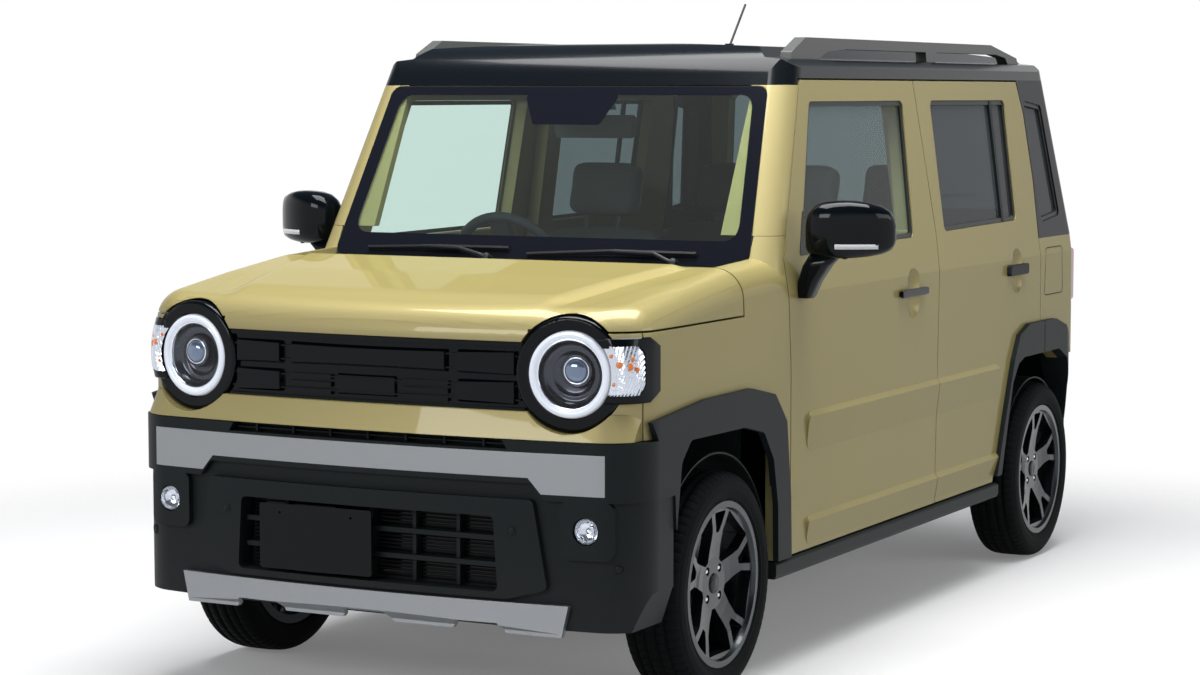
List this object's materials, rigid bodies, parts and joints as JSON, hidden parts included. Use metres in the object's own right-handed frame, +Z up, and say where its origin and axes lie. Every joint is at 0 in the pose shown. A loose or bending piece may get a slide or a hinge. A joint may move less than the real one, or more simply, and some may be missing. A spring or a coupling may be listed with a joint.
{
  "type": "kei car",
  "caption": "Small tall hatchback with opening doors, bonnet and tailgate, steered front wheels, roof rails and a full cabin.",
  "frame": {"origin": "on the ground, under the middle of the overall length and width", "axes": "+Z up, -Y is the car's front, +X is the car's left"},
  "size_m": [1.9278, 3.395, 1.8047],
  "materials": {
    "paint": "gloss metallic",
    "roof_black": "gloss",
    "gloss_black": "gloss",
    "dark_plastic": "matte, grained",
    "silver_trim": "satin silver",
    "rail_grey": "satin",
    "glass": "clear, green tint",
    "dark_glass": "dark tint",
    "lamp_glass": "clear",
    "tail_red": "gloss red",
    "tyre": "matte",
    "wheel_metal": "dark machined",
    "cabin_plastic": "matte",
    "seat_fabric": "woven",
    "chassis_steel": "matte coated",
    "engine_metal": "cast"
  },
  "bodies": {
    "car_body": {"air_intake": "dark_plastic", "antenna": "gloss_black", "arch_mouldings": "dark_plastic", "body_side_left": "paint", "body_side_right": "paint", "bulkhead": "cabin_plastic", "bumper_bar": "silver_trim", "dashboard": "cabin_plastic", "engine": "engine_metal", "floor_pan": "chassis_steel", "fog_lamps": "lamp_glass", "front_bumper": "dark_plastic", "front_plate": "gloss_black", "front_seats": "seat_fabric", "front_subframe": "chassis_steel", "front_wings": "paint", "grille": "gloss_black", "headlamp_pods": "gloss_black", "headlamps": "lamp_glass", "interior_mirror": "cabin_plastic", "nose_panel": "paint", "quarter_windows": "dark_glass", "rear_axle": "chassis_steel", "rear_bumper": "dark_plastic", "rear_seats": "seat_fabric", "roof_panel": "roof_black", "roof_rails": "rail_grey", "sill_mouldings": "dark_plastic", "skid_plate": "silver_trim", "tail_lamps": "tail_red", "underbody_tanks": "chassis_steel", "wheel_liners": "dark_plastic", "windscreen": "glass", "wipers": "cabin_plastic"},
    "bonnet": {"bonnet": "paint"},
    "tailgate": {"tailgate": "paint", "tailgate_glass": "dark_glass"},
    "steering_wheel": {"steering_wheel": "cabin_plastic"},
    "front_door_left": {"front_door_left": "paint", "front_door_glass_left": "glass", "front_door_fittings_left": "gloss_black"},
    "rear_door_left": {"rear_door_left": "paint", "rear_door_glass_left": "dark_glass", "rear_door_fittings_left": "dark_plastic"},
    "front_knuckle_left": {"front_knuckle_left": "chassis_steel"},
    "front_wheel_left": {"tyre_front_left": "tyre", "rim_front_left": "wheel_metal"},
    "rear_wheel_left": {"tyre_rear_left": "tyre", "rim_rear_left": "wheel_metal"},
    "front_door_right": {"front_door_right": "paint", "front_door_glass_right": "glass", "front_door_fittings_right": "gloss_black"},
    "rear_door_right": {"rear_door_right": "paint", "rear_door_glass_right": "dark_glass", "rear_door_fittings_right": "dark_plastic"},
    "front_knuckle_right": {"front_knuckle_right": "chassis_steel"},
    "front_wheel_right": {"tyre_front_right": "tyre", "rim_front_right": "wheel_metal"},
    "rear_wheel_right": {"tyre_rear_right": "tyre", "rim_rear_right": "wheel_metal"}
  },
  "joints": [
    {"name": "bonnet_hinge", "type": "hinge", "parent": "car_body", "child": "bonnet", "pos_m": [0, -0.975, 1.078], "axis": [-1, 0, 0], "range_deg": [0, 55]},
    {"name": "tailgate_hinge", "type": "hinge", "parent": "car_body", "child": "tailgate", "pos_m": [0, 1.568, 1.578], "axis": [1, 0, 0], "range_deg": [0, 80]},
    {"name": "front_left_door_hinge", "type": "hinge", "parent": "car_body", "child": "front_door_left", "pos_m": [0.722, -0.74, 0.9], "axis": [0, 0, -1], "range_deg": [0, 65]},
    {"name": "front_right_door_hinge", "type": "hinge", "parent": "car_body", "child": "front_door_right", "pos_m": [-0.722, -0.74, 0.9], "axis": [0, 0, 1], "range_deg": [0, 65]},
    {"name": "rear_left_door_hinge", "type": "hinge", "parent": "car_body", "child": "rear_door_left", "pos_m": [0.722, 0.333, 0.9], "axis": [0, 0, -1], "range_deg": [0, 65]},
    {"name": "rear_right_door_hinge", "type": "hinge", "parent": "car_body", "child": "rear_door_right", "pos_m": [-0.722, 0.333, 0.9], "axis": [0, 0, 1], "range_deg": [0, 65]},
    {"name": "front_left_steer", "type": "hinge", "parent": "car_body", "child": "front_knuckle_left", "pos_m": [0.655, -1.13, 0.288], "axis": [0, 0, 1], "range_deg": [-30, 30]},
    {"name": "front_right_steer", "type": "hinge", "parent": "car_body", "child": "front_knuckle_right", "pos_m": [-0.655, -1.13, 0.288], "axis": [0, 0, 1], "range_deg": [-30, 30]},
    {"name": "steering_wheel_turn", "type": "hinge", "parent": "car_body", "child": "steering_wheel", "pos_m": [-0.34, -0.33, 1.01], "axis": [0, 0.8988, 0.4384], "range_deg": [-420, 420]},
    {"name": "front_left_wheel_spin", "type": "hinge", "parent": "front_knuckle_left", "child": "front_wheel_left", "pos_m": [0.6475, -1.13, 0.288], "axis": [1, 0, 0], "continuous": true},
    {"name": "rear_left_wheel_spin", "type": "hinge", "parent": "car_body", "child": "rear_wheel_left", "pos_m": [0.6475, 1.33, 0.288], "axis": [1, 0, 0], "continuous": true},
    {"name": "front_right_wheel_spin", "type": "hinge", "parent": "front_knuckle_right", "child": "front_wheel_right", "pos_m": [-0.6475, -1.13, 0.288], "axis": [1, 0, 0], "continuous": true},
    {"name": "rear_right_wheel_spin", "type": "hinge", "parent": "car_body", "child": "rear_wheel_right", "pos_m": [-0.6475, 1.33, 0.288], "axis": [1, 0, 0], "continuous": true}
  ],
  "couplings": [
    {"joint": "front_right_steer", "follows": "front_left_steer", "ratio": 1},
    {"joint": "steering_wheel_turn", "follows": "front_left_steer", "ratio": 14}
  ]
}
